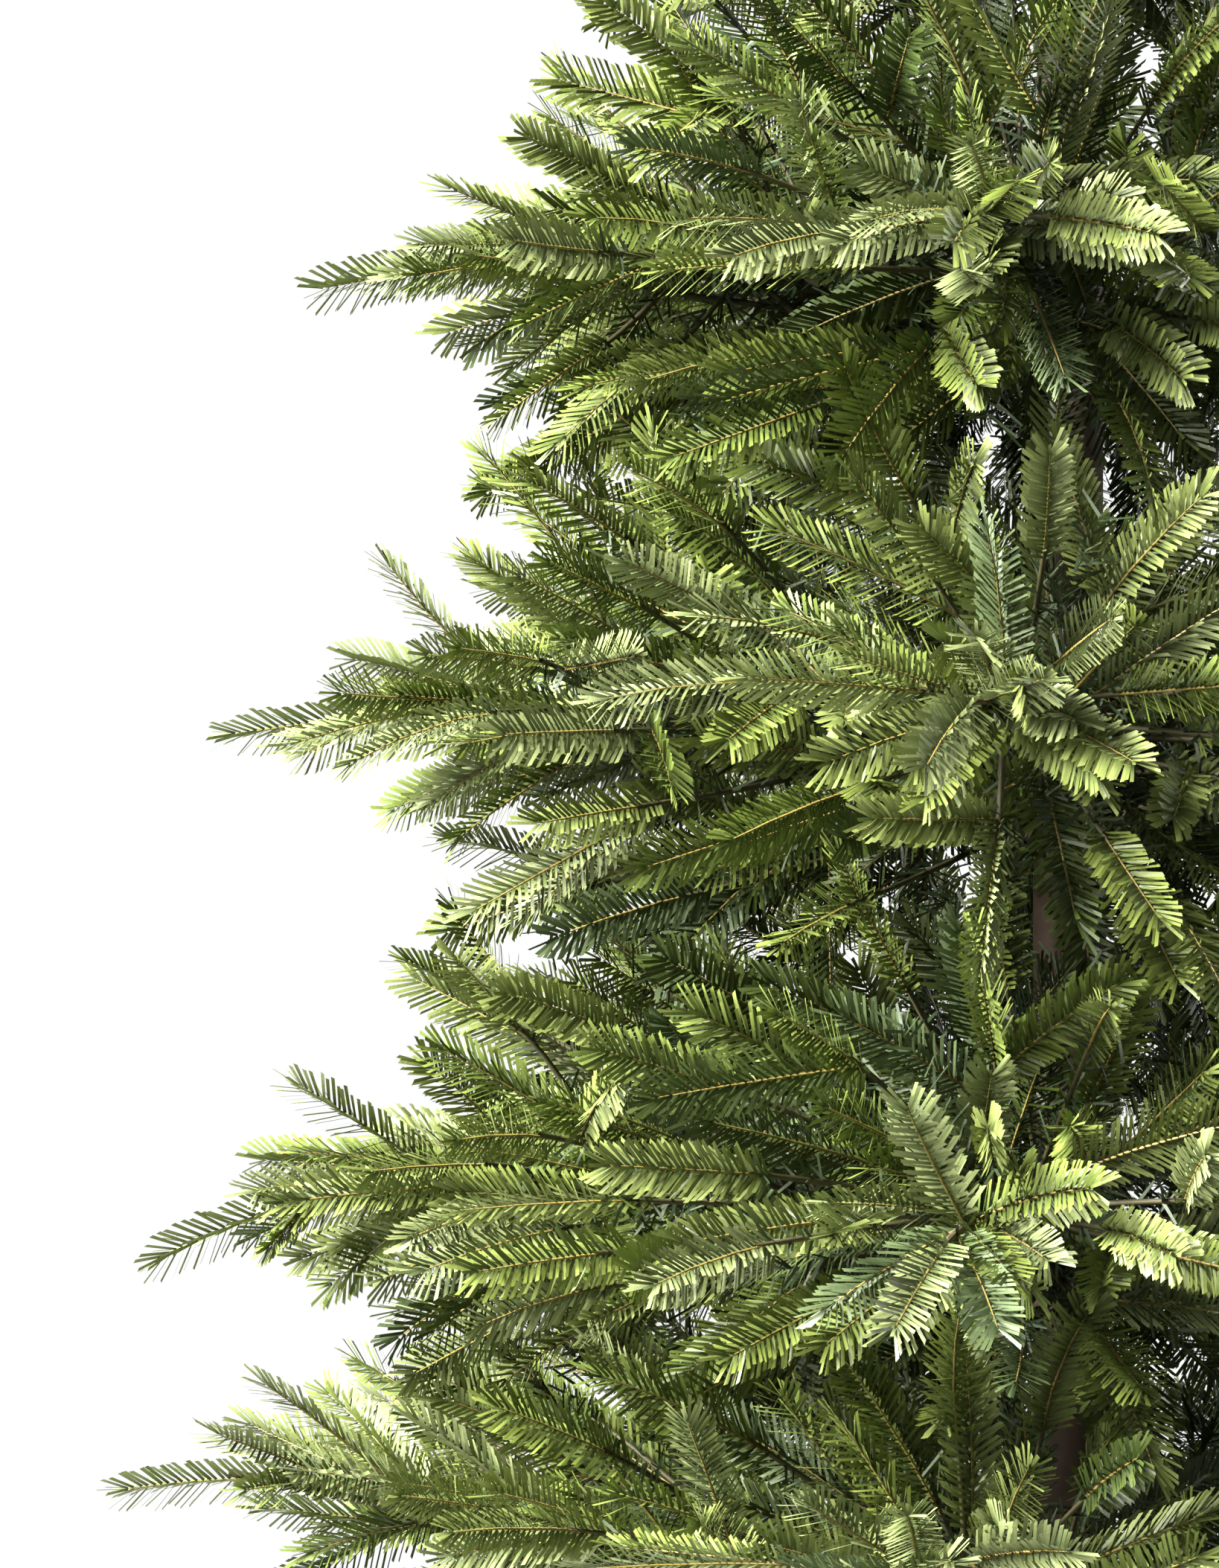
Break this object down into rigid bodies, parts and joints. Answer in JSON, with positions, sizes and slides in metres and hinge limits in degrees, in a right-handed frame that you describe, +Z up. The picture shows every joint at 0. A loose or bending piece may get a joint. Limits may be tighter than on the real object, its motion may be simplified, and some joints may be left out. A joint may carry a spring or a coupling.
{
  "type": "artificial christmas tree",
  "caption": "Tall artificial Christmas tree: a painted steel pole with rows of arched wire boughs, moulded needle sprays that taper to a leader, and a metal stand with spread legs.",
  "frame": {"origin": "on the floor at the pole's axis, in the middle of the stand's feet", "axes": "+Z up along the pole to the leader's tip; +X and +Y level; the picture looks along +Y"},
  "size_m": [0.8036, 0.8088, 2.1],
  "materials": {
    "stand_paint": "dark green paint",
    "screw_steel": "zinc plated",
    "pole_paint": "brown paint",
    "bough_wire": "wire wrapped in dark green and brown tape",
    "needles": "satin moulded plastic needles"
  },
  "bodies": {
    "root": {"stand_socket": "stand_paint", "stand_leg_1": "stand_paint", "stand_leg_2": "stand_paint", "stand_leg_3": "stand_paint", "stand_leg_4": "stand_paint", "stand_screw_1": "screw_steel", "stand_screw_2": "screw_steel", "stand_screw_3": "screw_steel", "pole_lower": "pole_paint", "pole_upper": "pole_paint", "bough_row_1_1": "bough_wire", "foliage_row_1_1": "needles", "bough_row_1_2": "bough_wire", "foliage_row_1_2": "needles", "bough_row_1_3": "bough_wire", "foliage_row_1_3": "needles", "bough_row_1_4": "bough_wire", "foliage_row_1_4": "needles", "bough_row_1_5": "bough_wire", "foliage_row_1_5": "needles", "bough_row_2_1": "bough_wire", "foliage_row_2_1": "needles", "bough_row_2_2": "bough_wire", "foliage_row_2_2": "needles", "bough_row_2_3": "bough_wire", "foliage_row_2_3": "needles", "bough_row_2_4": "bough_wire", "foliage_row_2_4": "needles", "bough_row_2_5": "bough_wire", "foliage_row_2_5": "needles", "bough_row_3_1": "bough_wire", "foliage_row_3_1": "needles", "bough_row_3_2": "bough_wire", "foliage_row_3_2": "needles", "bough_row_3_3": "bough_wire", "foliage_row_3_3": "needles", "bough_row_3_4": "bough_wire", "foliage_row_3_4": "needles", "bough_row_3_5": "bough_wire", "foliage_row_3_5": "needles", "bough_row_4_1": "bough_wire", "foliage_row_4_1": "needles", "bough_row_4_2": "bough_wire", "foliage_row_4_2": "needles", "bough_row_4_3": "bough_wire", "foliage_row_4_3": "needles", "bough_row_4_4": "bough_wire", "foliage_row_4_4": "needles", "bough_row_4_5": "bough_wire", "foliage_row_4_5": "needles", "foliage_row_5_1": "needles", "foliage_row_5_2": "needles", "foliage_row_5_3": "needles", "foliage_row_5_4": "needles", "foliage_row_6_1": "needles", "foliage_row_6_2": "needles", "foliage_row_6_3": "needles", "foliage_row_6_4": "needles", "foliage_leader": "needles"}
  },
  "joints": []
}
